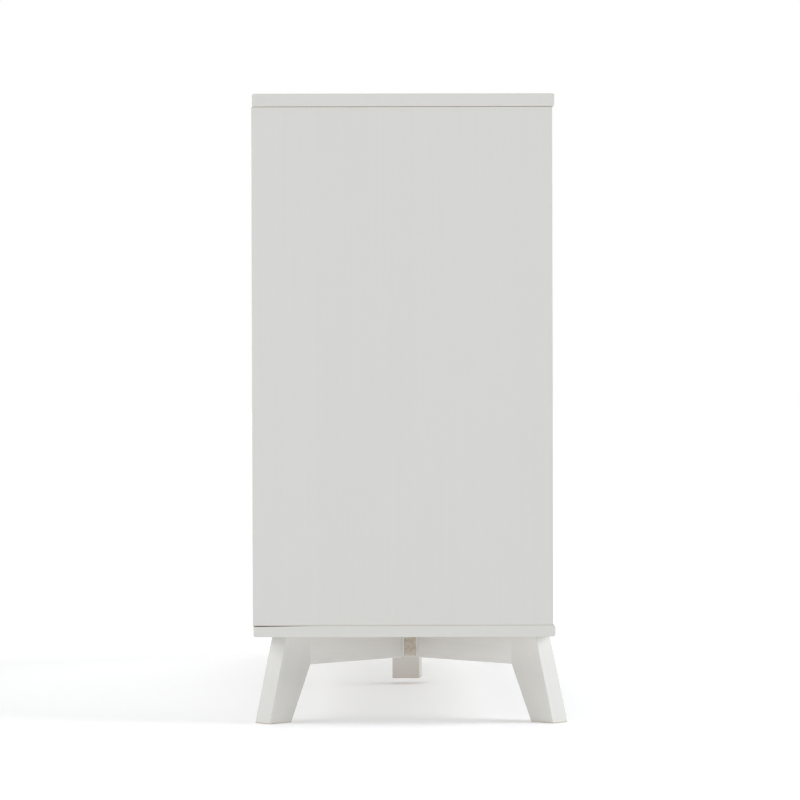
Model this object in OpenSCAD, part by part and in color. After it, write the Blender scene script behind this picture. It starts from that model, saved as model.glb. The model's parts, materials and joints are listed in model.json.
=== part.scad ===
// Wide solid-wood apothecary cabinet on a splayed leg frame, with a grid of inset drawers.
// +Z is up, the drawer fronts face -Y, and the width runs along X.
// The origin is on the floor, at the middle of the overall width and depth.

/* [Carcass] */
// Width over the ends of the top and base boards
cabinet_w = 1400; // [1200:10:1600]
// Depth of a side panel, front to back
panel_d = 417.8; // [400:0.2:450]
// Height from the base board to the top board
panel_h = 720.5; // [600:0.5:800]
// Thickness of the top board, the panels and the dividers
board_t = 18; // [18:0.5:22]
// Thickness of the base board
base_t = 16; // [16:0.5:22]
// How far the top and base boards stand out in front of the side panels
slab_overhang = 3; // [0:0.5:6]
// How far the top and base boards stop short of the side panels' back edges
slab_setback = 1; // [0:0.5:2]
// Radius along the long edges of the top and base boards
slab_round = 3; // [1:0.5:6]
// How far a side panel's outer face sits inside the ends of the boards
side_inset = 0.8; // [0:0.1:3]
// Height of the seam between a side panel and the top board
seam_h = 0.4; // [0.1:0.1:1]
// Height of the wedge-shaped gap under a side panel's back corner
heel_gap_h = 1.4; // [0.5:0.1:2.5]
// Length of that gap, along the panel's lower edge
heel_gap_l = 92; // [40:1:120]
// Thickness of the back panel
back_t = 4; // [3:0.5:5]
// Width of the rebate that the back panel's edges sit in
back_rebate = 8; // [6:0.5:10]
// Depth of the housings that hold the ends of the drawer dividers
housing = 5; // [3:0.5:6]
// Distance that a housing stops short of the front edge
housing_stop = 12; // [8:1:20]

/* [Drawers] */
// Number of drawer columns
columns = 4; // [3:1:4]
// Number of drawer rows
rows = 4; // [3:1:4]
// Gap around a drawer front
front_gap = 1.6; // [1:0.1:3]
// How far a drawer front sits behind the panels' front edges
front_recess = 0.8; // [0:0.1:3]
// Thickness of a drawer front
front_t = 18; // [15:0.5:20]
// Width of the finger scoop at the top edge of a drawer front
scoop_w = 90; // [60:1:120]
// Depth of the finger scoop
scoop_d = 20; // [14:1:28]
// Thickness of a drawer's sides and back
tray_t = 12; // [10:0.5:14]
// Length of a drawer's sides
tray_l = 375; // [300:1:380]
// Height of a drawer's sides
tray_h = 130; // [90:1:135]
// Running gap under a drawer's sides
run_gap = 0.3; // [0.2:0.1:0.6]
// Thickness of a drawer's bottom
bottom_t = 4; // [3:0.5:6]
// Height of a drawer's bottom above the lower edges of its sides
bottom_lift = 10; // [8:0.5:14]
// Depth of the grooves that hold a drawer's bottom
bottom_groove = 5; // [3:0.5:6]
// Length of a drawer stop, which sets how far the drawer opens
stop_l = 70; // [20:1:120]
// Width of a drawer stop
stop_w = 50; // [20:1:80]
// Height of a drawer stop
stop_h = 5; // [4:0.5:6]

/* [Leg frame] */
// Height of the leg frame, from the floor to the base board
frame_h = 121.5; // [110:0.5:140]
// Thickness of the legs and rails
frame_t = 30; // [24:0.5:32]
// Height of a rail
rail_h = 42.7; // [36:0.1:46]
// Distance along the diagonal from the V's point to a toe
toe_reach = 293.8; // [280:0.2:296]
// Length of a foot on the floor, along the diagonal
foot_l = 41.6; // [34:0.2:44]
// Length of a leg's top, along the diagonal
leg_top_l = 45.6; // [40:0.2:50]
// How far a leg's outer edge leans in on its way up
leg_lean = 33.4; // [20:0.2:40]
// How far the nearest corner of a foot sits inside the ends of the boards
foot_inset = 10; // [5:1:40]
// How far the leg frame's centre line sits in front of the side panels' middle
frame_forward = 11.5; // [8:0.5:12]
// Thickness of the centre beam
beam_t = 22; // [18:0.5:24]
// How far the centre beam's underside sits above the rails' undersides
beam_lift = 1.7; // [0:0.1:3]
// Radius of the centre beam's eased edges
beam_round = 2; // [0.5:0.1:3]
// How far the centre beam's ends stand out from the rails
beam_proud = 2.4; // [0:0.1:5]
// Side of the square support leg under the middle of the beam
support_w = 43; // [38:1:50]
// Height of the support leg's foot above the floor
support_clear = 9.8; // [3:0.2:15]
// Turn of the support leg about its screw, in degrees
support_turn = -5.5; // [-10:0.5:10]

/* [Fastenings] */
// Diameter of a dowel
dowel_d = 8; // [6:1:8]
// Length of a dowel
dowel_l = 30; // [30:1:36]
// Diameter of a cam disc
cam_d = 15; // [12:1:15]
// Thickness of a cam disc
cam_t = 12.4; // [11:0.1:13]
// Distance from a cam disc's axis to the end of its panel
cam_reach = 24; // [20:1:30]
// Diameter of a cam bolt
cam_bolt_d = 6; // [5:0.5:6.5]
// Diameter of a leg frame screw
frame_screw_d = 4.8; // [4:0.2:6]
// Length of a leg frame screw
frame_screw_l = 45; // [42:1:48]
// Diameter of a back panel screw
back_screw_d = 2.8; // [2.5:0.1:3.5]
// Length of a back panel screw
back_screw_l = 16; // [12:1:20]

/* [Hidden] */
$fn = 72;
cut = 1;               // how far a cutting solid runs past the surface that it cuts
fit_gap = 0.05;        // radial room around a dowel, a cam disc or a screw in its hole
end_gap = 0.2;         // room at the end of a tongue, a dowel or a bolt
glue_gap = 0.1;        // glue line around a drawer's back and bottom

paint = [0.93, 0.93, 0.91];
pine = [0.87, 0.74, 0.55];
hardboard = [0.94, 0.93, 0.90];
steel = [0.72, 0.72, 0.74];
zinc_cast = [0.62, 0.62, 0.64];

// Heights
base_under = frame_h;
base_top = base_under + base_t;
top_under = base_top + panel_h;

// Leg frame in plan. A V's two centre lines meet at its point, on the frame's centre line.
diag = sqrt(2);
foot_corner = (toe_reach + frame_t / 2) / diag;    // from the V's point to a foot's farthest side
point_x = cabinet_w / 2 - foot_inset - foot_corner;
frame_y = (foot_corner - frame_forward - panel_d / 2) / 2;
rail_under = frame_h - rail_h;
beam_under = rail_under + beam_lift;
seam_reach = toe_reach - leg_lean - leg_top_l;     // where the leg meets its rail
beam_reach = beam_t / 2 * diag;                    // where a rail's centre line meets the beam's side
beam_end_x = point_x + (beam_reach + frame_t) / diag + beam_proud;

// Depths
panel_mid = frame_y + frame_forward;
panel_front = panel_mid - panel_d / 2;
panel_back = panel_mid + panel_d / 2;
slab_front = panel_front - slab_overhang;
slab_back = panel_back - slab_setback;
slab_d = slab_back - slab_front;
back_front = slab_back - back_t;                   // front face of the back panel
inner_d = back_front - panel_front;

// Drawer bays
bay_w = (cabinet_w - 2 * side_inset - (columns + 1) * board_t) / columns;
bay_h = (panel_h - (rows - 1) * board_t) / rows;
drawer_w = bay_w - 2 * front_gap;
front_h = bay_h - 2 * front_gap;
front_y = panel_front + front_recess;
tray_y = front_y + front_t;
scoop_r = (pow(scoop_w / 2, 2) + pow(scoop_d, 2)) / (2 * scoop_d);
groove_w = bottom_t + 2 * glue_gap;
plate_in = bottom_groove - end_gap;                // how far a drawer's bottom reaches into its grooves
back_lift = 2;                                     // gap under a drawer's back, less than a stop's height

// Fastenings
cam_spread = 150;                                  // from the panel's middle to a cam
dowel_spread = 110;                                // from the panel's middle to a dowel
dowel_in_slab = 10;
bolt_in_slab = 11;
bolt_room = 1;                                     // radial room around a bolt in a panel's end
cam_slot = 0.3;                                    // radial room around a bolt in its cam disc
leg_dowel_z = [rail_under + 11, rail_under + 31];
screw_sink = 10;                                   // depth that a rail's screws sit inside its underside
screw_head_d = 9;
screw_head_h = 3;
rail_screw_s = [60, 180];                          // places of a rail's screws, along the diagonal
beam_screw_x = 300;
support_sink = 15;                                 // depth of the support leg's screw below the beam's top
back_head_d = 6;
back_head_h = 2;
back_screw_z = [for (i = [0:3]) base_top + panel_h * (i + 0.5) / 4];

function vertical_x(i) = -cabinet_w / 2 + side_inset + board_t / 2 + i * (bay_w + board_t);
function bay_x(c) = vertical_x(c - 1) + (bay_w + board_t) / 2;
function bay_z(r) = base_top + (rows - r) * (bay_h + board_t);
function cam_side(i) = i > columns / 2 ? -1 : 1;   // which way a panel's cams face
function back_screw_x(i) =
    i == 0 ? vertical_x(0) + (board_t - back_rebate) / 2
    : i == columns ? vertical_x(columns) - (board_t - back_rebate) / 2
    : vertical_x(i);
function grid_name(kind, r, c) = str(kind, "_r", r, "c", c);

// ---- shared shapes ----

// A rectangle with round corners, its lower left corner at the origin
module round_rect(w, h, r) {
    translate([r, 0]) square([w - 2 * r, h]);
    translate([0, r]) square([w, h - 2 * r]);
    for (x = [r, w - r], y = [r, h - r]) translate([x, y]) circle(r);
}

// Draws a profile in the YZ plane and extrudes it along X from x0
module along_x(x0, length) {
    translate([x0, 0, 0]) rotate([90, 0, 90]) linear_extrude(length) children();
}

// Places its children at both ends of vertical panel i, at a spread either side of its middle.
// They are drawn for the lower end, with z = 0 on the joint and the panel above it.
module at_panel_ends(i, spread) {
    for (y = [-spread, spread], top = [0, 1])
        translate([vertical_x(i), panel_mid + y, top ? top_under : base_top])
            mirror([0, 0, top]) children();
}

// Takes a corner's diagonal to local X, with the V's point at the origin
module at_corner(side, row) {
    translate([0, frame_y, 0])
        mirror([side < 0 ? 1 : 0, 0, 0]) mirror([0, row < 0 ? 1 : 0, 0])
            translate([point_x, 0, 0]) rotate([0, 0, 45]) children();
}

// Places its children upright under the rails and the beam, where a screw goes up into the base board
module at_frame_screws() {
    for (side = [-1, 1]) {
        for (row = [-1, 1], s = rail_screw_s)
            at_corner(side, row) translate([s, 0, rail_under + screw_sink]) children();
        translate([side * beam_screw_x, frame_y, rail_under + screw_sink]) children();
    }
}

module at_support_screw() {
    translate([0, frame_y, frame_h - support_sink]) mirror([0, 0, 1]) children();
}

module at_back_screws(i) {
    for (z = back_screw_z) translate([back_screw_x(i), slab_back, z]) rotate([90, 0, 0]) children();
}

// ---- fastenings, each drawn once and placed by the loops below ----

module one_dowel(grow = 0) {
    translate([0, 0, -dowel_in_slab - grow]) cylinder(d = dowel_d + 2 * grow, h = dowel_l + 2 * grow);
}

module one_cam_bolt() {
    translate([0, 0, -bolt_in_slab]) cylinder(d = cam_bolt_d, h = bolt_in_slab + cam_reach);
}

// Cam disc, its axis across the panel, with the radial hole that takes the bolt's end
module one_cam_disc() {
    difference() {
        translate([board_t / 2 - cam_t, 0, cam_reach]) rotate([0, 90, 0]) cylinder(d = cam_d, h = cam_t);
        translate([0, 0, cam_reach - cam_d]) cylinder(d = cam_bolt_d + 2 * cam_slot, h = cam_d + end_gap);
    }
}

module cam_bores() {
    translate([board_t / 2 - cam_t - end_gap, 0, cam_reach])
        rotate([0, 90, 0]) cylinder(d = cam_d + 2 * fit_gap, h = cam_t + end_gap + cut);
    translate([0, 0, -cut]) cylinder(d = cam_bolt_d + 2 * bolt_room, h = cam_reach + cut);
}

module one_frame_screw() {
    cylinder(d = screw_head_d, h = screw_head_h);
    cylinder(d = frame_screw_d, h = frame_screw_l);
}

module frame_screw_bore() {
    translate([0, 0, -screw_sink - support_sink])
        cylinder(d = screw_head_d + 1, h = screw_sink + support_sink + screw_head_h);
    cylinder(d = frame_screw_d + 2 * fit_gap, h = frame_screw_l + end_gap);
}

module one_back_screw(grow = 0) {
    cylinder(d1 = back_head_d + 2 * grow, d2 = back_screw_d + 2 * grow, h = back_head_h);
    cylinder(d = back_screw_d + 2 * grow, h = back_screw_l + 2 * grow);
}

// ---- carcass ----

// The top or base board, with rounded long edges, fixing holes and the rebate for the back panel.
// The panels meet it at the height joint. Its children are cut away too.
module slab(under, thickness, joint) {
    rebate_x = cabinet_w / 2 - side_inset - board_t + back_rebate;
    color(paint) difference() {
        along_x(-cabinet_w / 2, cabinet_w)
            translate([slab_front, under]) round_rect(slab_d, thickness, slab_round);
        translate([-rebate_x, back_front, joint - back_rebate])
            cube([2 * rebate_x, back_t + cut, 2 * back_rebate]);
        for (i = [0:columns]) {
            at_panel_ends(i, dowel_spread) one_dowel(fit_gap);
            at_panel_ends(i, cam_spread) translate([0, 0, -bolt_in_slab - end_gap])
                cylinder(d = cam_bolt_d + 2 * fit_gap, h = bolt_in_slab + 2 * end_gap);
        }
        children();
    }
}

module top_board() { slab(top_under, board_t, top_under); }

module base_board() {
    slab(base_under, base_t, base_top) {
        at_frame_screws() frame_screw_bore();
        for (side = [0, 1]) mirror([side, 0, 0]) heel_wedge();
    }
}

// What the base board lacks under a side panel's back corner, so that a gap opens there
module heel_wedge() {
    inside = board_t + side_inset;
    along_x(cabinet_w / 2 - inside, inside + cut) polygon([
        [panel_back - heel_gap_l, base_top],
        [panel_back, base_top - heel_gap_h],
        [panel_back, base_top + cut],
        [panel_back - heel_gap_l, base_top + cut]
    ]);
}

module panel_fixings(i) {
    at_panel_ends(i, dowel_spread) one_dowel(fit_gap);
    at_panel_ends(i, cam_spread) mirror([cam_side(i) < 0 ? 1 : 0, 0, 0]) cam_bores();
    at_back_screws(i) one_back_screw(fit_gap);
}

// Housings for the divider ends in one face of vertical panel i
module housings(i, face) {
    for (r = [1:rows - 1])
        translate([vertical_x(i) + (face > 0 ? board_t / 2 - housing : -board_t / 2 - cut),
                   panel_front + housing_stop, bay_z(r) - board_t])
            cube([housing + cut, inner_d, board_t]);
}

module side_panel(i) {
    inward = i == 0 ? 1 : -1;
    color(paint) difference() {
        translate([vertical_x(i) - board_t / 2, panel_front, base_top])
            cube([board_t, panel_d, panel_h - seam_h]);
        translate([vertical_x(i) + (inward > 0 ? board_t / 2 - back_rebate : -board_t / 2 - cut),
                   back_front, base_top - cut])
            cube([back_rebate + cut, panel_d, panel_h + 2 * cut]);
        housings(i, inward);
        panel_fixings(i);
    }
}

module partition(i) {
    color(paint) difference() {
        translate([vertical_x(i) - board_t / 2, panel_front, base_top]) cube([board_t, inner_d, panel_h]);
        housings(i, 1);
        housings(i, -1);
        panel_fixings(i);
    }
}

// The dividers of one column, each with a tongue at both ends that stops short of the front edge
module dividers(c) {
    tongue = housing - end_gap;
    color(paint) for (r = [1:rows - 1]) translate([bay_x(c) - bay_w / 2, panel_front, bay_z(r) - board_t]) {
        cube([bay_w, inner_d, board_t]);
        translate([-tongue, housing_stop, 0]) cube([bay_w + 2 * tongue, inner_d - housing_stop, board_t]);
    }
}

module back_panel() {
    half = cabinet_w / 2 - side_inset - board_t + back_rebate;
    color(hardboard) difference() {
        translate([-half, back_front, base_top - back_rebate])
            cube([2 * half, back_t, panel_h + 2 * back_rebate]);
        for (i = [0:columns]) at_back_screws(i) one_back_screw(fit_gap);
    }
}

// ---- leg frame ----

module leg(side, row) {
    color(paint) at_corner(side, row) difference() {
        rotate([90, 0, 0]) linear_extrude(frame_t, center = true) polygon([
            [toe_reach, 0],
            [toe_reach - leg_lean, frame_h],
            [seam_reach, frame_h],
            [seam_reach, rail_under],
            [toe_reach - foot_l, 0]
        ]);
        leg_dowels(fit_gap);
    }
}

// The two dowels between a leg and its rail, half in each
module leg_dowels(grow = 0) {
    for (z = leg_dowel_z)
        translate([seam_reach - dowel_l / 2 + dowel_in_slab, 0, z]) rotate([0, 90, 0]) one_dowel(grow);
}

// A rail runs from its leg to the side of the centre beam, where it is cut at 45 degrees
module rail(side, row) {
    color(paint) at_corner(side, row) difference() {
        translate([0, 0, rail_under]) linear_extrude(rail_h) polygon([
            [seam_reach, -frame_t / 2],
            [seam_reach, frame_t / 2],
            [beam_reach - frame_t / 2, frame_t / 2],
            [beam_reach + frame_t / 2, -frame_t / 2]
        ]);
        leg_dowels(fit_gap);
        for (s = rail_screw_s) translate([s, 0, rail_under + screw_sink]) frame_screw_bore();
    }
}

module centre_beam() {
    color(paint) difference() {
        intersection() {
            along_x(-beam_end_x, 2 * beam_end_x) translate([frame_y - beam_t / 2, beam_under]) {
                round_rect(beam_t, frame_h - beam_under, beam_round);
                translate([0, beam_round]) square([beam_t, frame_h - beam_under - beam_round]);
            }
            translate([-beam_end_x, frame_y - beam_t / 2, beam_under])
                linear_extrude(frame_h) round_rect(2 * beam_end_x, beam_t, beam_round);
        }
        for (side = [-1, 1])
            translate([side * beam_screw_x, frame_y, rail_under + screw_sink]) frame_screw_bore();
        at_support_screw() frame_screw_bore();
    }
}

module support_leg() {
    color(paint) difference() {
        translate([0, frame_y, support_clear]) rotate([0, 0, support_turn])
            translate([-support_w / 2, -support_w / 2, 0])
                cube([support_w, support_w, beam_under - support_clear]);
        at_support_screw() frame_screw_bore();
    }
}

// ---- drawers ----

// A drawer front, with the finger scoop in its top edge and the groove for the drawer's bottom
module drawer_front(r, c) {
    floor_z = bay_z(r);
    color(paint) difference() {
        translate([bay_x(c) - drawer_w / 2, front_y, floor_z + front_gap]) cube([drawer_w, front_t, front_h]);
        translate([bay_x(c), front_y - cut, floor_z + front_gap + front_h + scoop_r - scoop_d])
            rotate([-90, 0, 0]) cylinder(r = scoop_r, h = front_t + 2 * cut);
        translate([bay_x(c) - drawer_w / 2 + tray_t - bottom_groove, tray_y - bottom_groove,
                   floor_z + run_gap + bottom_lift])
            cube([drawer_w - 2 * tray_t + 2 * bottom_groove, bottom_groove + cut, groove_w]);
    }
}

// A drawer's sides, back and bottom, as separate solids; the bottom sits in a groove all round
module drawer_tray(r, c) {
    inner_w = drawer_w - 2 * tray_t;
    color(pine) translate([bay_x(c), tray_y, bay_z(r) + run_gap]) {
        for (side = [0, 1]) mirror([side, 0, 0]) difference() {
            translate([inner_w / 2, 0, 0]) cube([tray_t, tray_l, tray_h]);
            translate([inner_w / 2 - cut, -cut, bottom_lift])
                cube([bottom_groove + cut, tray_l - tray_t + bottom_groove + cut, groove_w]);
        }
        difference() {
            translate([-inner_w / 2 + glue_gap, tray_l - tray_t, back_lift])
                cube([inner_w - 2 * glue_gap, tray_t, tray_h - back_lift]);
            translate([-inner_w / 2 - cut, tray_l - tray_t - cut, bottom_lift])
                cube([inner_w + 2 * cut, bottom_groove + cut, groove_w]);
        }
        translate([-inner_w / 2 - plate_in, -plate_in, bottom_lift + glue_gap])
            cube([inner_w + 2 * plate_in, tray_l - tray_t + 2 * plate_in, bottom_t]);
    }
}

// A block under each drawer: the front meets its near end when shut, the drawer's back its far end
module drawer_stops() {
    color(pine) for (r = [1:rows], c = [1:columns])
        translate([bay_x(c) - stop_w / 2, tray_y + run_gap, bay_z(r)]) cube([stop_w, stop_l, stop_h]);
}

// ---- groups of identical fastenings ----

module dowels() {
    color(pine) {
        for (i = [0:columns]) at_panel_ends(i, dowel_spread) one_dowel();
        for (side = [-1, 1], row = [-1, 1]) at_corner(side, row) leg_dowels();
    }
}

module cam_discs() {
    color(zinc_cast) for (i = [0:columns])
        at_panel_ends(i, cam_spread) mirror([cam_side(i) < 0 ? 1 : 0, 0, 0]) one_cam_disc();
}

module cam_bolts() {
    color(steel) for (i = [0:columns]) at_panel_ends(i, cam_spread) one_cam_bolt();
}

module frame_screws() {
    color(steel) {
        at_frame_screws() one_frame_screw();
        at_support_screw() one_frame_screw();
    }
}

module back_panel_screws() {
    color(steel) for (i = [0:columns]) at_back_screws(i) one_back_screw();
}

// ---- the nodes ----

top_board();
base_board();
side_panel(0);  // left_side_panel
side_panel(columns);  // right_side_panel
back_panel();
for (i = [1:columns - 1]) partition(i);
for (c = [1:columns]) dividers(c);
leg(-1, -1);  // leg_front_left
leg(1, -1);  // leg_front_right
leg(-1, 1);  // leg_rear_left
leg(1, 1);  // leg_rear_right
rail(-1, -1);  // rail_front_left
rail(1, -1);  // rail_front_right
rail(-1, 1);  // rail_rear_left
rail(1, 1);  // rail_rear_right
centre_beam();
support_leg();
drawer_stops();
dowels();
cam_discs();
cam_bolts();
frame_screws();
back_panel_screws();
for (r = [1:rows], c = [1:columns])
    drawer_front(r, c);
for (r = [1:rows], c = [1:columns])
    drawer_tray(r, c);
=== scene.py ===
"""Looks for the apothecary cabinet: painted pine boards with eased edges, bare pine drawers and hardware.

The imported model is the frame. Most boards get a piece in their place, made from the CAD mesh with the edges
that a joiner would ease rounded off. The screws and cam discs get detailed pieces. Lengths are in metres, in
the frame's own axes: the drawers face -Y.
"""

import json
import math
import random

import bmesh
import bpy
from mathutils import Matrix, Vector
from mathutils.geometry import tessellate_polygon


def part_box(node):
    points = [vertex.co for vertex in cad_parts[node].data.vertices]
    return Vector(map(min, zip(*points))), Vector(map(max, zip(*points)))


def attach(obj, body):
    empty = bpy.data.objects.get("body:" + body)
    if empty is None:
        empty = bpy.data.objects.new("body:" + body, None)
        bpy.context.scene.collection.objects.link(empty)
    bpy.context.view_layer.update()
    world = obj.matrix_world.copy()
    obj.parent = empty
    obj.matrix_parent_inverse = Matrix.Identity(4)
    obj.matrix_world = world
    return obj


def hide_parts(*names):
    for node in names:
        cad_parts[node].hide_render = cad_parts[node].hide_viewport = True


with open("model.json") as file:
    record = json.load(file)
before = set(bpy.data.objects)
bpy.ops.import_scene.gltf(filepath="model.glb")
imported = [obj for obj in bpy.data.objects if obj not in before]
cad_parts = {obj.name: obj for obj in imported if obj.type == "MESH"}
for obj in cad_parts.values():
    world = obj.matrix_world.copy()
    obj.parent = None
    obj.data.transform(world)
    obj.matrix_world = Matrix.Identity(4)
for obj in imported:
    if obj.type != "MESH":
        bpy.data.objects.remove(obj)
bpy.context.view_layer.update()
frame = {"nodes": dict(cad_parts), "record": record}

MM = 0.001
COLUMNS = 4
ROWS = 4
DRAWERS = [(row, column) for row in range(1, ROWS + 1) for column in range(1, COLUMNS + 1)]
CORNERS = [(row, side) for row in ("front", "rear") for side in ("left", "right")]
SIGN = {"front": -1, "rear": 1, "left": -1, "right": 1}

X, Y, Z = Vector((1, 0, 0)), Vector((0, 1, 0)), Vector((0, 0, 1))

# Colours, as linear RGB
PAINT = (0.694, 0.693, 0.665)
# Lighter and warmer than PAINT: painted light and warm bounce on the rails, and on the legs' tops, in the
# shade under the cabinet
RAIL_PAINT_LIT_WARM = (0.833, 0.826, 0.800)
# Lighter still: a painted highlight on the centre beam's rounded arrises at its ends
BEAM_HIGHLIGHT_PAINT = (0.905, 0.898, 0.872)
# Darker and warmer than PAINT: painted shade on the support leg under the cabinet
SUPPORT_SHADED_PAINT = (0.724, 0.695, 0.664)
# Darker and warmer again: painted shade towards the support leg's foot
SUPPORT_FOOT_SHADE = (0.670, 0.622, 0.577)
SHADED = (0.952, 0.949, 0.944)
PINE = (0.74, 0.57, 0.36)
PINE_LATE = (0.58, 0.38, 0.19)
END_GRAIN = (0.602, 0.516, 0.430)
END_GRAIN_LATE = (0.412, 0.335, 0.252)
PLYWOOD = (0.74, 0.60, 0.42)
PLYWOOD_DARK = (0.60, 0.45, 0.28)
HARDBOARD = (0.66, 0.655, 0.63)
STEEL = (0.62, 0.62, 0.63)
ZINC = (0.46, 0.46, 0.47)
FLOOR = (0.920, 0.924, 0.938)

# Sizes of details
WELD = 0.01 * MM
LEVEL = (0.9, 0.97)  # a normal's share along a direction, where a mask starts and where it is full
LEG_TAPER = (0.964, 0.265)  # a leg's grain leans this far out of upright
FEATHER = 0.5 * MM  # height over which the bare wood of a foot meets its paint
FOOT_BARE = 1.4 * MM
SOLE_RAGGED = 0.9 * MM
SOLE_NOISE = 160.0
WORN_HEIGHT = 32 * MM
BEAM_ARRIS = 2.0 * MM
PLY_MIDDLE = 12.5 * MM  # height of a drawer's bottom above the floor of its bay
STAVE = 53 * MM
SIDE_STAVES = [width * MM for width in (49, 44.5, 44, 53, 65.5, 72, 47.5, 42.3)]
RING = 3.2 * MM
SHORTEST_EASED = 4 * MM


# ---- places that the frame gives ----

BASE_LO, BASE_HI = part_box("base_board")
TOP_LO, TOP_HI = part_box("top_board")
PANEL_LO, PANEL_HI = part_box("left_side_panel")
BEAM_LO, BEAM_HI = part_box("centre_beam")
BAY_FLOOR = BASE_HI.z
ROW_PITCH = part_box("drawer_front_r1c1")[0].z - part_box("drawer_front_r2c1")[0].z
PANELS = ["left_side_panel"] + [f"partition_{i}" for i in range(1, COLUMNS)] + ["right_side_panel"]
BODY = {name: body for body, names in frame["record"]["behaviour"]["bodies"].items() for name in names}


# ---- material building ----


class Graph:
    """One material's node tree, with short calls to fill it."""

    def __init__(self, name):
        self.material = bpy.data.materials.new(name)
        self.material.use_nodes = True
        self.tree = self.material.node_tree
        self.tree.nodes.clear()

    def node(self, kind, inputs=None, **settings):
        """Adds a node; each input is a value or another node's output."""
        made = self.tree.nodes.new("ShaderNode" + kind)
        for key, value in settings.items():
            setattr(made, key, value)
        for key, value in (inputs or {}).items():
            if isinstance(value, bpy.types.NodeSocket):
                self.tree.links.new(value, made.inputs[key])
            else:
                made.inputs[key].default_value = value
        return made

    def math(self, operation, *values):
        return self.node("Math", dict(enumerate(values)), operation=operation).outputs[0]

    def total(self, *terms):
        """The sum of (weight, value) terms."""
        result = 0.0
        for weight, value in terms:
            result = self.math("MULTIPLY_ADD", value, weight, result)
        return result

    def vector(self, x, y, z):
        return self.node("CombineXYZ", {0: x, 1: y, 2: z}).outputs[0]

    def split(self, vector):
        return self.node("SeparateXYZ", {0: vector}).outputs

    def dot(self, vector, direction):
        made = self.node("VectorMath", {0: vector, 1: tuple(direction)}, operation="DOT_PRODUCT")
        return made.outputs["Value"]

    def noise(self, vector, scale, detail=2.0, roughness=0.5):
        inputs = {"Vector": vector, "Scale": scale, "Detail": detail, "Roughness": roughness}
        return self.node("TexNoise", inputs)

    def span(self, value, low, high, to_low=0.0, to_high=1.0):
        """Maps low..high to to_low..to_high, and stops at the ends."""
        inputs = {"Value": value, "From Min": low, "From Max": high, "To Min": to_low, "To Max": to_high}
        return self.node("MapRange", inputs).outputs["Result"]

    def ramp(self, value, stops, interpolation="LINEAR"):
        """A ramp through (place, colour) stops."""
        made = self.node("ValToRGB", {"Fac": value})
        ramp = made.color_ramp
        ramp.interpolation = interpolation
        while len(ramp.elements) < len(stops):
            ramp.elements.new(0.5)
        for element, (place, colour) in zip(ramp.elements, stops):
            element.position = place
            element.color = (*colour, 1)
        return made.outputs["Color"]

    def mix(self, factor, low, high, blend="MIX"):
        """Mixes two colours."""
        made = self.node("Mix", data_type="RGBA", blend_type=blend)
        for index, value in ((0, factor), (6, low), (7, high)):
            if isinstance(value, bpy.types.NodeSocket):
                self.tree.links.new(value, made.inputs[index])
            else:
                made.inputs[index].default_value = (*value, 1) if isinstance(value, tuple) else value
        return made.outputs[2]

    def finish(self, colour, roughness, height=None, depth=0.0, **constants):
        """Ends the tree in a Principled shader, with a bump of the given depth in metres."""
        inputs = {"Base Color": colour, "Roughness": roughness, **constants}
        if height is not None:
            bump = self.node("Bump", {"Height": height, "Distance": depth, "Strength": 1.0})
            inputs["Normal"] = bump.outputs["Normal"]
        shader = self.node("BsdfPrincipled", inputs)
        self.node("OutputMaterial", {"Surface": shader.outputs[0]})
        return self.material


class Board:
    """How a board lies: its grain, the direction its staves follow each other in, and their widths."""

    def __init__(self, along, across, start, widths):
        self.along = Vector(along).normalized()
        self.across = Vector(across).normalized()
        self.through = self.along.cross(self.across)
        self.start = start
        self.widths = widths

    @classmethod
    def even(cls, along, across, start, end, stave=STAVE):
        """A board glued up from staves of about one width."""
        count = max(1, round((end - start) / stave))
        return cls(along, across, start, [(end - start) / count] * count)

    def end(self):
        return self.start + sum(self.widths)


def stave_values(g, across, board, seed):
    """Three random values for the stave that a point is in, as the channels of one colour."""
    rng = random.Random(seed)
    place, stops = board.start, []
    for width in board.widths:
        share = (place - board.start) / (board.end() - board.start)
        stops.append((share, (rng.random(), rng.random(), rng.random())))
        place += width
    return g.ramp(g.span(across, board.start, board.end()), stops, "CONSTANT")


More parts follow.
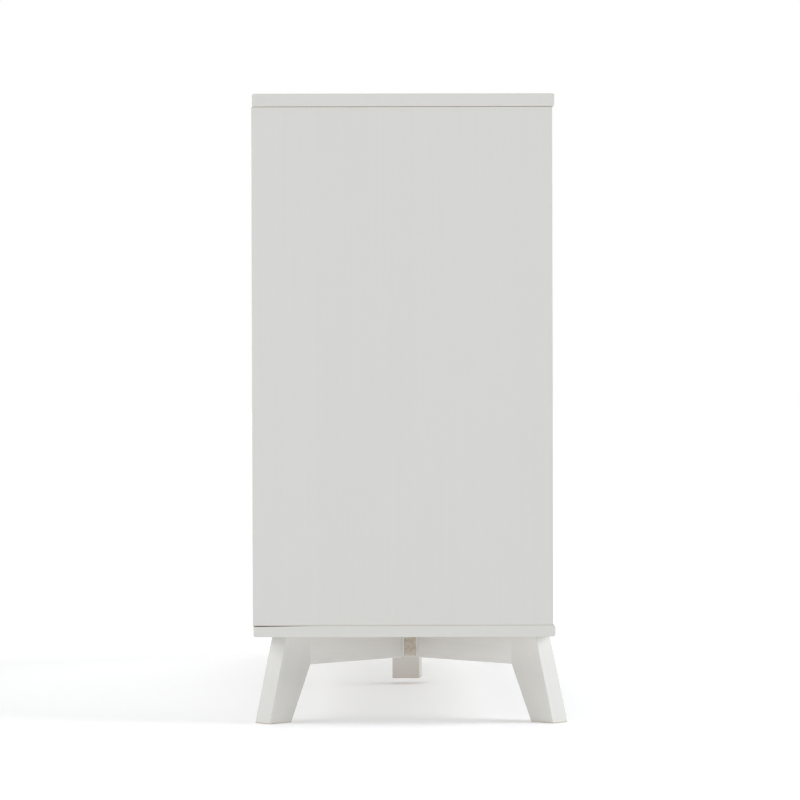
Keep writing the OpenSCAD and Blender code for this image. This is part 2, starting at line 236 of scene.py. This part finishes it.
def pine(g, board, seed):
    """The solid pattern of pine: rings round each stave's own pith, fibres, streaks and slow tone changes."""
    place = g.node("TexCoord").outputs["Object"]
    along, across, through = (g.dot(place, v) for v in (board.along, board.across, board.through))
    stave = g.split(stave_values(g, across, board, seed))
    shifted = g.total((7.0, stave[2]), (1.0, along))
    slow = g.vector(g.total((1.3, shifted)), g.total((6.0, across)), g.total((6.0, through)))
    wander = g.split(g.noise(slow, 1.0, 2.0).outputs["Color"])
    middle = (board.start + board.end()) / 2
    pith_across = g.total((0.34, stave[0]), (-1.0, across), (0.007, wander[0]), (middle - 0.17, 1.0))
    pith_through = g.total((0.10, stave[1]), (-1.0, through), (0.007, wander[1]), (0.015, 1.0))
    radius = g.node("VectorMath", {0: g.vector(pith_across, 0.0, pith_through)}, operation="LENGTH")
    tapered = g.total((1.0, radius.outputs["Value"]), (0.004, shifted))
    season_at = g.vector(g.total((45.0, tapered)), g.total((9.0, stave[2])), 0.0)
    seasons = g.noise(season_at, 1.0, 2.0).outputs["Fac"]
    phase = g.math("FRACT", g.total((1.0 / RING, tapered), (3.5, seasons)))
    ring_tones = [(0.0, 0.0), (0.45, 0.2), (0.85, 0.9), (0.92, 1.0), (1.0, 0.0)]
    rings = g.ramp(phase, [(at, (grey,) * 3) for at, grey in ring_tones])
    fibre_at = g.vector(g.total((7.0, shifted)), g.total((900.0, across)), g.total((900.0, through)))
    streak_at = g.vector(g.total((1.6, shifted)), g.total((130.0, across)), g.total((130.0, through)))
    normal = g.node("NewGeometry").outputs["True Normal"]
    return {
        "place": place,
        "rings": rings,
        "fibre": g.noise(fibre_at, 1.0, 3.0, 0.6).outputs["Fac"],
        "streak": g.noise(streak_at, 1.0, 3.0, 0.55).outputs["Fac"],
        "tone": stave[2],
        "blotch": g.noise(slow, 2.0, 3.0).outputs["Fac"],
        "normal": normal,
        "facing": g.math("ABSOLUTE", g.dot(normal, board.through)),
    }


def raw_colour(g, wood, early, late):
    """Unfinished wood, darker where the rings and fibres are."""
    return g.mix(g.total((0.62, wood["rings"]), (0.30, wood["fibre"])), early, late)


def painted(name, board, seed, bare=None, raw=(END_GRAIN, END_GRAIN_LATE), coat=PAINT, second=None):
    """Matt white paint over pine. Where bare(g, wood) is 1, the wood has no paint, and second is a pair of a
    mask and a colour laid over the coat there, which paints light or shade on the legs and support leg."""
    g = Graph(name)
    wood = pine(g, board, seed)
    stipple = g.noise(wood["place"], 900.0, 2.0).outputs["Fac"]
    shade = g.total((0.12, wood["rings"]), (0.30, wood["fibre"]), (0.45, wood["streak"]),
                    (0.18, wood["tone"]), (0.40, wood["blotch"]))
    tone = g.mix(g.span(shade, 0.2, 1.4), (1.0, 1.0, 1.0), SHADED)
    if second:
        covers, colour = second
        coat = g.mix(covers(g, wood), coat, colour)
    colour = g.mix(1.0, coat, tone, "MULTIPLY")
    roughness = g.total((0.12, wood["blotch"]), (0.08, wood["fibre"]), (0.46, 1.0))
    height = g.total((0.30, wood["rings"]), (0.45, wood["fibre"]), (0.25, stipple))
    if bare:
        mask = bare(g, wood)
        colour = g.mix(mask, colour, raw_colour(g, wood, *raw))
        roughness = g.total((0.25, mask), (1.0, roughness))
    return g.finish(colour, roughness, height, 0.045 * MM)


def bare_pine(name, board, seed):
    """Planed pine with no finish."""
    g = Graph(name)
    wood = pine(g, board, seed)
    colour = raw_colour(g, wood, PINE, PINE_LATE)
    colour = g.mix(g.total((0.22, wood["blotch"])), colour, PINE_LATE)
    roughness = g.total((0.2, wood["fibre"]), (0.52, 1.0))
    height = g.total((0.5, wood["rings"]), (0.6, wood["fibre"]))
    return g.finish(colour, roughness, height, 0.06 * MM)


def tray_wood(name, seed):
    """A drawer's pine sides and back, and its plywood bottom, told apart by their height in the drawer."""
    g = Graph(name)
    wood = pine(g, Board(Y, Z, BAY_FLOOR, [ROW_PITCH] * ROWS), seed)
    x, y, z = g.split(wood["place"])
    lift = g.math("MODULO", g.math("SUBTRACT", z, BAY_FLOOR), ROW_PITCH)
    level = g.math("GREATER_THAN", g.math("ABSOLUTE", g.split(wood["normal"])[2]), 0.5)
    low = g.math("LESS_THAN", g.math("ABSOLUTE", g.math("SUBTRACT", lift, PLY_MIDDLE)), 5 * MM)
    colour = raw_colour(g, wood, PINE, PINE_LATE)
    veneer_at = g.vector(g.total((2.2, x)), g.total((34.0, y)), z)
    veneer = g.noise(veneer_at, 1.0, 4.0, 0.62).outputs["Fac"]
    ply = g.mix(g.span(veneer, 0.35, 0.68), PLYWOOD, PLYWOOD_DARK)
    colour = g.mix(g.math("MULTIPLY", level, low), colour, ply)
    roughness = g.total((0.2, wood["fibre"]), (0.5, 1.0))
    height = g.total((0.45, wood["rings"]), (0.6, wood["fibre"]))
    return g.finish(colour, roughness, height, 0.05 * MM)


def hardboard(name):
    """Primed hardboard: an even off-white with a faint orange-peel face."""
    g = Graph(name)
    place = g.node("TexCoord").outputs["Object"]
    peel = g.noise(place, 420.0, 3.0).outputs["Fac"]
    cloud = g.noise(place, 3.5, 3.0).outputs["Fac"]
    colour = g.mix(g.span(cloud, 0.3, 0.7), HARDBOARD, tuple(0.95 * channel for channel in HARDBOARD))
    return g.finish(colour, g.total((0.15, peel), (0.42, 1.0)), peel, 0.05 * MM)


def metal(name, colour, rough, grain):
    """Plated or cast metal, a little uneven in tone and sheen."""
    g = Graph(name)
    place = g.node("TexCoord").outputs["Object"]
    speck = g.noise(place, grain, 4.0).outputs["Fac"]
    tone = g.mix(speck, colour, tuple(0.78 * channel for channel in colour))
    return g.finish(tone, g.total((0.2, speck), (rough, 1.0)), speck, 0.02 * MM, Metallic=1.0)


# ---- where the paint stops ----


def sole(g, wood, low=0.0):
    """Bare wood on the underside of a foot that ends at height low, and just up onto its edges."""
    height = g.split(wood["place"])[2]
    ragged = g.total((1.0, height), (SOLE_RAGGED, g.noise(wood["place"], SOLE_NOISE).outputs["Fac"]))
    return g.span(ragged, low + FOOT_BARE, low + FOOT_BARE + FEATHER, 1.0, 0.0)


def support_sole(g, wood):
    """The same on the support leg, which hangs clear of the floor."""
    return sole(g, wood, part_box("support_leg")[0].z)


def beam_ends(g, wood):
    """Bare end grain on the centre beam's ends, inside its painted arrises and patchily dusted with paint."""
    x, y, z = g.split(wood["place"])
    end = g.math("GREATER_THAN", g.math("ABSOLUTE", x), BEAM_HI.x - 0.3 * MM)
    from_middle = g.math("ABSOLUTE", g.math("SUBTRACT", y, (BEAM_LO.y + BEAM_HI.y) / 2))
    half = (BEAM_HI.y - BEAM_LO.y) / 2
    inside = g.span(from_middle, half - BEAM_ARRIS, half - 0.85 * BEAM_ARRIS, 1.0, 0.0)
    above = g.span(z, BEAM_LO.z + 0.4 * MM, BEAM_LO.z + 0.9 * MM)
    patches = g.span(g.noise(wood["place"], 190.0, 2.0).outputs["Fac"], 0.38, 0.62, 1.0, 0.70)
    low_dust = g.span(z, BEAM_LO.z + 3.0 * MM, BEAM_LO.z + 9.0 * MM, 0.92, 1.0)
    clear = g.math("MULTIPLY", patches, low_dust)
    return g.math("MULTIPLY", g.math("MULTIPLY", end, clear), g.math("MULTIPLY", inside, above))


def upright_ends(g, wood):
    """Bare end grain on an upright board's upper and lower ends."""
    return g.span(g.math("ABSOLUTE", g.split(wood["normal"])[2]), *LEVEL)


def thin_coat_and_warm_shade(g, wood):
    """Wood that shows a little through the paint on a board's two broad sides, making them darker and warmer:
    painted warm shade on faces in the shadow under the cabinet.
    """
    return g.span(wood["facing"], *LEVEL, 0.0, 0.09)


def lit_upper_sides(g, wood):
    """The rails' lighter coat, run on over the tops of the legs' broad sides: painted light that fades out
    downwards.
    """
    height = g.span(g.split(wood["place"])[2], 68 * MM, 120 * MM)
    return g.math("MULTIPLY", g.span(wood["facing"], *LEVEL), height)


def foot_shade_blend(g, wood):
    """The support leg's coat, darker and warmer towards its foot: painted shade."""
    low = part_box("support_leg")[0].z
    return g.span(g.split(wood["place"])[2], low, low + WORN_HEIGHT, 1.0, 0.0)


def leg_coat(g, wood):
    """Bare wood where a leg stands on the floor, and on its broad sides a thin coat that paints warm shade.
    """
    return g.math("MAXIMUM", sole(g, wood), thin_coat_and_warm_shade(g, wood))


def joint_face(up):
    """Bare wood on a level board's face, up or down, where a side panel covers it."""

    def mask(g, wood):
        covered = g.math("GREATER_THAN", g.math("ABSOLUTE", g.split(wood["place"])[0]), -PANEL_HI.x)
        level = g.math("MULTIPLY", g.split(wood["normal"])[2], up)
        return g.math("MULTIPLY", covered, g.span(level, *LEVEL))

    return mask


def base_coat(g, wood):
    """Bare wood in the joints with the side panels, and a thin coat on the underside."""
    below = g.span(g.split(wood["normal"])[2], -LEVEL[0], -LEVEL[1], 0.0, 0.08)
    return g.math("MAXIMUM", joint_face(1.0)(g, wood), below)


# ---- shapes ----


def near(value, target):
    return abs(value - target) < 0.05 * MM


def both(edge, test):
    """True if both of an edge's ends pass a test."""
    return all(test(vert.co) for vert in edge.verts)


def show(name, mesh, material, nodes):
    """Puts a finished mesh in the scene in place of CAD nodes that share a body and a slot."""
    for face in mesh.faces:
        face.smooth = True
    data = bpy.data.meshes.new(name)
    mesh.to_mesh(data)
    mesh.free()
    data.set_sharp_from_angle(angle=math.radians(30))
    data.materials.append(material)
    made = bpy.data.objects.new(name, data)
    bpy.context.scene.collection.objects.link(made)
    made.modifiers.new("normals", "WEIGHTED_NORMAL").keep_sharp = True
    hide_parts(*nodes)
    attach(made, BODY[nodes[0]])


def eased(node, ending, material, width, chosen, segments=3):
    """A piece in a CAD node's place, with its chosen sharp edges rounded."""
    mesh = bmesh.new()
    mesh.from_mesh(frame["nodes"][node].data)
    bmesh.ops.remove_doubles(mesh, verts=mesh.verts, dist=WELD)
    bmesh.ops.dissolve_limit(mesh, angle_limit=math.radians(0.4), verts=mesh.verts, edges=mesh.edges)
    sharp = [e for e in mesh.edges if e.is_manifold and e.calc_face_angle() > math.radians(35) and chosen(e)]
    bmesh.ops.bevel(mesh, geom=sharp, offset=width, segments=segments, profile=0.5, affect="EDGES")
    show(f"{node}_{ending}", mesh, material, [node])


def dress(node, material):
    """Gives a CAD node that keeps its shape its material."""
    for slot in frame["nodes"][node].material_slots:
        slot.link = "OBJECT"
        slot.material = material


def solids(node):
    """The corners of every separate solid in a CAD node, as a list of lists."""
    mesh = bmesh.new()
    mesh.from_mesh(frame["nodes"][node].data)
    bmesh.ops.remove_doubles(mesh, verts=mesh.verts, dist=WELD)
    found = []
    for first in mesh.verts:
        if first.tag:
            continue
        first.tag = True
        group, waiting = [], [first]
        while waiting:
            vert = waiting.pop()
            group.append(vert.co.copy())
            for edge in vert.link_edges:
                other = edge.other_vert(vert)
                if not other.tag:
                    other.tag = True
                    waiting.append(other)
        found.append(group)
    mesh.free()
    return found


def corners(points):
    """The lowest and highest corners of a list of points."""
    low = Vector([min(p[i] for p in points) for i in range(3)])
    high = Vector([max(p[i] for p in points) for i in range(3)])
    return low, high


def cross_headed(profile, arm, half, depth, matrices, sides=32):
    """A turned part with a cross recess in its head, copied to each matrix. The profile is (radius, height)
    pairs from the head's rim to the tip; the head is at height 0 and the part runs up from it."""
    cross = [(arm, -half), (arm, half), (half, half), (half, arm), (-half, arm), (-half, half),
             (-arm, half), (-arm, -half), (-half, -half), (-half, -arm), (half, -arm), (half, -half)]
    top = [Vector((x, y, profile[0][1])) for x, y in cross]
    floor = [Vector((0.55 * x, 0.55 * y, profile[0][1] + depth)) for x, y in cross]
    turn = [(math.cos(2 * math.pi * i / sides), math.sin(2 * math.pi * i / sides)) for i in range(sides)]
    rings = [[Vector((r * c, r * s, h)) for c, s in turn] for r, h in profile]
    mesh = bmesh.new()
    for matrix in matrices:
        circles = [[mesh.verts.new(matrix @ point) for point in ring] for ring in rings]
        lips = [mesh.verts.new(matrix @ point) for point in top]
        base = [mesh.verts.new(matrix @ point) for point in floor]
        flat = circles[0] + lips
        for triangle in tessellate_polygon([rings[0], top]):
            mesh.faces.new([flat[i] for i in triangle])
        for near_ring, far_ring in zip(circles, circles[1:]):
            for i in range(sides):
                j = (i + 1) % sides
                mesh.faces.new([near_ring[i], near_ring[j], far_ring[j], far_ring[i]])
        for i in range(len(cross)):
            j = (i + 1) % len(cross)
            mesh.faces.new([lips[i], lips[j], base[j], base[i]])
        mesh.faces.new(base)
        mesh.faces.new(circles[-1])
    bmesh.ops.recalc_face_normals(mesh, faces=mesh.faces)
    return mesh


def standing(place, axis):
    """A matrix that moves the origin to place and turns local Z to an axis."""
    return Matrix.Translation(place) @ Vector(axis).to_track_quat("Z", "Y").to_matrix().to_4x4()


# ---- camera, floor and light ----


# The camera: its place, its turn off a level view along +X (radians), its lens and its sensor (millimetres)
EYE = (-5.6868, 0.0473, 0.4671)
YAW, PITCH, ROLL = -0.0067, -0.0033, -0.0025
LENS = 161.7
SENSOR = 36.0


def make_camera():
    """A nearly level view of the cabinet's left end from far away, a little above its middle."""
    data = bpy.data.cameras.new("camera")
    data.sensor_width = SENSOR
    data.lens = LENS
    data.clip_start, data.clip_end = 0.1, 200.0
    made = bpy.data.objects.new("camera", data)
    bpy.context.scene.collection.objects.link(made)
    level = math.cos(PITCH)
    ahead = Vector((math.cos(YAW) * level, math.sin(YAW) * level, math.sin(PITCH)))
    right = ahead.cross(Z).normalized()
    up = right.cross(ahead)
    turn = Matrix((right, up, -ahead)).transposed() @ Matrix.Rotation(ROLL, 3, "Z")
    made.matrix_world = Matrix.Translation(EYE) @ turn.to_4x4()
    bpy.context.scene.camera = made


def make_floor():
    """A plain pale floor, lit a little from within like a light table."""
    reach = 60.0
    mesh = bpy.data.meshes.new("floor")
    rim = [(-reach, -reach, 0), (reach, -reach, 0), (reach, reach, 0), (-reach, reach, 0)]
    mesh.from_pydata(rim, [], [(0, 1, 2, 3)])
    made = bpy.data.objects.new("floor", mesh)
    bpy.context.scene.collection.objects.link(made)
    g = Graph("floor")
    cloud = g.noise(g.node("TexCoord").outputs["Object"], 0.8).outputs["Fac"]
    tone = g.mix(cloud, FLOOR, tuple(1.02 * channel for channel in FLOOR))
    glow = {"Emission Color": (1, 1, 1, 1), "Emission Strength": FLOOR_GLOW}
    mesh.materials.append(g.finish(tone, 0.9, **glow))


# Softboxes, as wide suns: name, azimuth and elevation they shine from, width (degrees), strength and colour.
# Azimuth 0 is +X and 90 is +Y; the drawers face 270 and the camera stands at 180.
NEUTRAL = (1.0, 1.0, 1.0)
COOL = (0.965, 0.98, 1.0)
SOFTBOXES = [
    ("overhead", 0, 90, 50, 0.30, NEUTRAL),
    ("front", 270, 28, 50, 2.04, COOL),
    ("back", 90, 34, 50, 1.15, NEUTRAL),
    ("back_corner", 135, 20, 40, 0.45, NEUTRAL),
    ("far_end", 0, 30, 60, 1.00, NEUTRAL),
    ("near_end", 180, 5, 30, 0.32, NEUTRAL),
]
AMBIENT = 0.270
BACKDROP = 1.0
FLOOR_GLOW = 0.142


def make_softboxes():
    for name, azimuth, elevation, width, strength, colour in SOFTBOXES:
        data = bpy.data.lights.new(name, "SUN")
        data.energy = strength
        data.color = colour
        data.angle = math.radians(width)
        made = bpy.data.objects.new(name, data)
        bpy.context.scene.collection.objects.link(made)
        turn, lift = math.radians(azimuth), math.radians(elevation)
        toward = Vector((math.cos(lift) * math.cos(turn), math.cos(lift) * math.sin(turn), math.sin(lift)))
        made.rotation_euler = toward.to_track_quat("Z", "Y").to_euler()


def make_backdrop():
    """An even white surround, shown at full white and lighting the cabinet more weakly."""
    world = bpy.data.worlds.new("studio")
    bpy.context.scene.world = world
    world.use_nodes = True
    tree = world.node_tree
    shown = tree.nodes.new("ShaderNodeLightPath").outputs["Is Camera Ray"]
    strength = tree.nodes.new("ShaderNodeMapRange")
    strength.inputs["To Min"].default_value = AMBIENT
    strength.inputs["To Max"].default_value = BACKDROP
    background = tree.nodes["Background"]
    background.inputs["Color"].default_value = (1, 1, 1, 1)
    tree.links.new(shown, strength.inputs["Value"])
    tree.links.new(strength.outputs["Result"], background.inputs["Strength"])
    bpy.context.scene.view_settings.view_transform = "Standard"


# ---- the cabinet ----


def make_level_boards():
    """Top and base: long edges already round, ends eased."""
    slab = Board.even(X, Y, TOP_LO.y, TOP_HI.y)
    for node, seed, bare in (("top_board", 13, joint_face(-1.0)), ("base_board", 14, base_coat)):
        low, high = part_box(node)

        def end_outline(edge):
            return both(edge, lambda co: near(co.x, low.x)) or both(edge, lambda co: near(co.x, high.x))

        material = painted(f"paint_{node}", slab, seed, bare, (PINE, PINE_LATE))
        eased(node, "painted", material, 0.5 * MM, end_outline)


def make_upright_boards():
    """Side panels and partitions, with bare ends; their front edges and a side panel's outline are eased."""
    for index, node in enumerate(PANELS):
        low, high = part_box(node)
        board = Board(Z, Y, PANEL_LO.y, SIDE_STAVES)
        outer = {0: low.x, COLUMNS: high.x}.get(index)

        def outline(edge):
            on_front = both(edge, lambda co: near(co.y, low.y))
            on_side = outer is not None and both(edge, lambda co: near(co.x, outer))
            return (on_front or on_side) and edge.calc_length() > SHORTEST_EASED

        eased(node, "painted", painted(f"paint_{node}", board, 11 + index, upright_ends), 0.5 * MM, outline)


def make_dividers():
    for column in range(1, COLUMNS + 1):
        node = f"dividers_column_{column}"
        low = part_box(node)[0]

        def front_edge(edge):
            return both(edge, lambda co: near(co.y, low.y)) and edge.calc_length() > 2 * STAVE

        board = Board.even(X, Y, TOP_LO.y, TOP_HI.y)
        eased(node, "painted", painted(f"paint_{node}", board, 30 + column), 0.5 * MM, front_edge)


def make_leg_frame():
    """Legs, rails, beam and support leg. The edges that meet in a glued joint stay sharp."""
    for index, (row, side) in enumerate(CORNERS):
        out = Vector((SIGN[side], SIGN[row], 0)).normalized()
        rail, leg = f"rail_{row}_{side}", f"leg_{row}_{side}"
        seam = max(vert.co.dot(out) for vert in frame["nodes"][rail].data.vertices)

        def leg_edge(edge):
            on_rail = both(edge, lambda co: near(co.dot(out), seam))
            on_base = both(edge, lambda co: near(co.z, BASE_LO.z))
            return edge.calc_length() > SHORTEST_EASED and not on_rail and not on_base

        def rail_edge(edge):
            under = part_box(rail)[0].z
            end = both(edge, lambda co: near(co.dot(out), seam))
            return both(edge, lambda co: near(co.z, under)) and edge.calc_length() > 2 * STAVE and not end

        upright, lean = LEG_TAPER
        grain = Board(upright * Z - lean * out, upright * out + lean * Z, 0.0, [0.8])
        # The tops of the legs' broad sides get the rails' lighter coat as painted light; their broad sides
        # are also painted darker and warmer as shade
        leg_paint = painted(f"paint_{leg}", grain, 50 + index, leg_coat, second=(lit_upper_sides, RAIL_PAINT_LIT_WARM))
        eased(leg, "painted", leg_paint, 0.7 * MM, leg_edge)
        lengthwise = Board(out, Z, 0.0, [0.2])
        # The rails' coat is painted lighter and warmer as light, and their broad sides darker and warmer as
        # painted warm shade
        rail_paint = painted(f"paint_{rail}", lengthwise, 60 + index, thin_coat_and_warm_shade, coat=RAIL_PAINT_LIT_WARM)
        eased(rail, "painted", rail_paint, 0.7 * MM, rail_edge)
    beam = Board(X, Y, BEAM_LO.y, [BEAM_HI.y - BEAM_LO.y])
    # The beam's coat is painted lighter as a highlight on the arrises beside its bare ends
    dress("centre_beam", painted("paint_centre_beam", beam, 41, beam_ends, coat=BEAM_HIGHLIGHT_PAINT))
    low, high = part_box("support_leg")
    grain = Board(Z, Y, low.y, [high.y - low.y])
    # Painted shade: the support leg darkens and warms towards its foot
    foot_shade = (foot_shade_blend, SUPPORT_FOOT_SHADE)
    # The support leg's coat is painted darker and warmer as shade
    post = painted("paint_support_leg", grain, 42, support_sole, coat=SUPPORT_SHADED_PAINT, second=foot_shade)
    eased("support_leg", "painted", post, 0.8 * MM, lambda edge: edge.calc_length() > SHORTEST_EASED)


def make_drawers():
    for row, column in DRAWERS:
        place = f"r{row}c{column}"
        front, tray = f"drawer_front_{place}", f"drawer_tray_{place}"
        low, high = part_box(front)

        def front_edge(edge):
            return not both(edge, lambda co: co.y > low.y + 2 * MM)

        finish = painted(f"paint_front_{place}", Board.even(X, Z, low.z, high.z), 100 + 10 * row + column)
        eased(front, "painted", finish, 1.0 * MM, front_edge)
        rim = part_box(tray)[1].z

        def rim_edge(edge):
            return both(edge, lambda co: near(co.z, rim))

        eased(tray, "wood", tray_wood(f"tray_wood_{place}", 200 + 10 * row + column), 0.8 * MM, rim_edge)


def make_hardware():
    stops = bare_pine("pine_stops", Board.even(Y, X, TOP_LO.x, TOP_HI.x), 71)
    eased("drawer_stops", "wood", stops, 0.5 * MM, lambda edge: True, 2)
    dress("dowels", bare_pine("pine_dowels", Board.even(Z, Y, PANEL_LO.y, PANEL_HI.y), 72))
    dress("back_panel", hardboard("primed_hardboard"))
    steel = metal("zinc_plated_steel", STEEL, 0.28, 500.0)
    dress("cam_bolts", steel)
    make_frame_screws(steel)
    make_back_screws(steel)
    make_cam_discs(metal("cast_zinc", ZINC, 0.42, 700.0))


def make_frame_screws(steel):
    """Pan-headed screws, up into the base board and down into the support leg."""
    places = []
    for points in solids("frame_screws"):
        low, high = corners(points)
        middle, radius = (low + high) / 2, (high.x - low.x) / 2
        head_up = any(near(p.z, high.z) and (p - middle).xy.length > 0.9 * radius for p in points)
        end = high.z if head_up else low.z
        places.append(standing((middle.x, middle.y, end), -Z if head_up else Z))
        length = high.z - low.z
    profile = [(0.55, 0.0), (0.85, 0.12), (1.0, 0.4), (1.0, 0.62), (0.53, 0.68)]
    profile = [(radius * r, 3 * MM * h) for r, h in profile]
    profile += [(2.4 * MM, length - 6 * MM), (0.2 * MM, length - 0.2 * MM)]
    mesh = cross_headed(profile, 2.2 * MM, 0.5 * MM, 1.5 * MM, places)
    show("frame_screws_turned", mesh, steel, ["frame_screws"])


def make_back_screws(steel):
    """Countersunk screws, their heads flush with the back panel."""
    places = []
    for points in solids("back_panel_screws"):
        low, high = corners(points)
        middle, radius, length = (low + high) / 2, (high.x - low.x) / 2, high.y - low.y
        places.append(standing((middle.x, high.y, middle.z), -Y))
    shank = 1.4 * MM
    profile = [(radius - 0.15 * MM, 0.0), (radius, 0.15 * MM), (shank, 2 * MM),
               (shank, length - 4 * MM), (0.15 * MM, length - 0.1 * MM)]
    mesh = cross_headed(profile, 1.6 * MM, 0.36 * MM, 1.1 * MM, places)
    show("back_panel_screws_turned", mesh, steel, ["back_panel_screws"])


def make_cam_discs(zinc):
    """Cam discs, their slotted faces level with the panel's face."""
    middles = [sum(corner.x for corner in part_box(panel)) / 2 for panel in PANELS]
    places = []
    for points in solids("cam_discs"):
        low, high = corners(points)
        middle, radius, thickness = (low + high) / 2, (high.z - low.z) / 2, high.x - low.x
        panel = min(middles, key=lambda x: abs(x - middle.x))
        face, inward = (high.x, -X) if middle.x > panel else (low.x, X)
        places.append(standing((face, middle.y, middle.z), inward))
    profile = [(radius - 0.4 * MM, 0.0), (radius, 0.4 * MM), (radius, thickness - 0.3 * MM),
               (radius - 0.3 * MM, thickness)]
    mesh = cross_headed(profile, 3.6 * MM, 0.8 * MM, 4 * MM, places, 48)
    show("cam_discs_cast", mesh, zinc, ["cam_discs"])


make_camera()
make_floor()
make_softboxes()
make_backdrop()
make_level_boards()
make_upright_boards()
make_dividers()
make_leg_frame()
make_drawers()
make_hardware()
